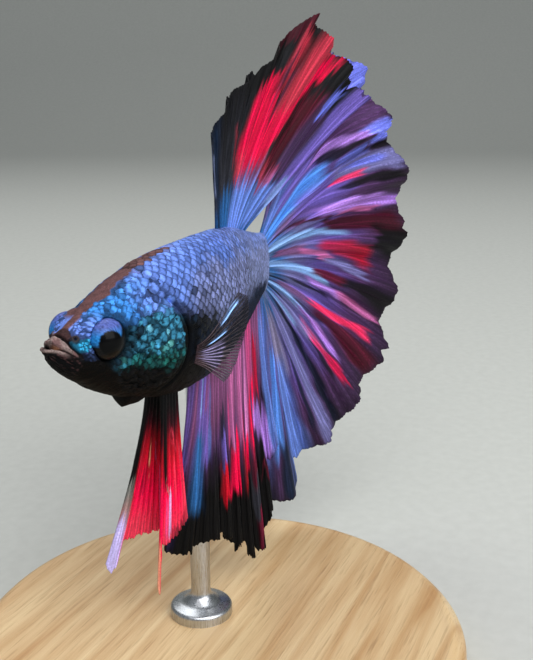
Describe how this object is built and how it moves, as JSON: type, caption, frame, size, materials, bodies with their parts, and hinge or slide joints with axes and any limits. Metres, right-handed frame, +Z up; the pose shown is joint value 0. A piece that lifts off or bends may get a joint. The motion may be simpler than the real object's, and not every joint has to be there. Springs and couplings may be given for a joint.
{
  "type": "betta fish",
  "caption": "Still life-size model of a male half-moon betta with fanned, folded fins, turned toward the viewer, on a rod over a round wooden base.",
  "frame": {"origin": "centre of the underside of the stand's base", "axes": "+Z up, the fish's head toward -X and its left flank toward -Y"},
  "size_m": [0.0692, 0.05, 0.065],
  "materials": {
    "skin": "iridescent blue scales, glossy",
    "gill_covers": "iridescent turquoise scales, glossy",
    "lips": "moist dark brown skin",
    "eyes": "wet, clear and glossy",
    "dorsal_fin": "thin rayed membrane, dark front, red band, lilac tips",
    "caudal_fin": "thin folded membrane, pale blue rays, lilac and maroon",
    "anal_fin": "thin folded membrane, mauve and red with a black hem",
    "pelvic_fins": "thin red membrane with a dark leading edge",
    "pectoral_fins": "dusky clear membrane with fine pale rays",
    "base_wood": "satin pale maple",
    "rod_steel": "satin"
  },
  "bodies": {
    "root": {"head": "skin", "upper_lip": "lips", "lower_jaw": "lips", "gill_cover_left": "gill_covers", "gill_cover_right": "gill_covers", "trunk": "skin", "tail_stalk": "skin", "eye_left": "eyes", "eye_right": "eyes", "dorsal_fin": "dorsal_fin", "caudal_fin": "caudal_fin", "anal_fin": "anal_fin", "pelvic_fin_left": "pelvic_fins", "pelvic_fin_right": "pelvic_fins", "pectoral_fin_left": "pectoral_fins", "pectoral_fin_right": "pectoral_fins", "stand_base": "base_wood", "stand_rod": "rod_steel"}
  },
  "joints": []
}
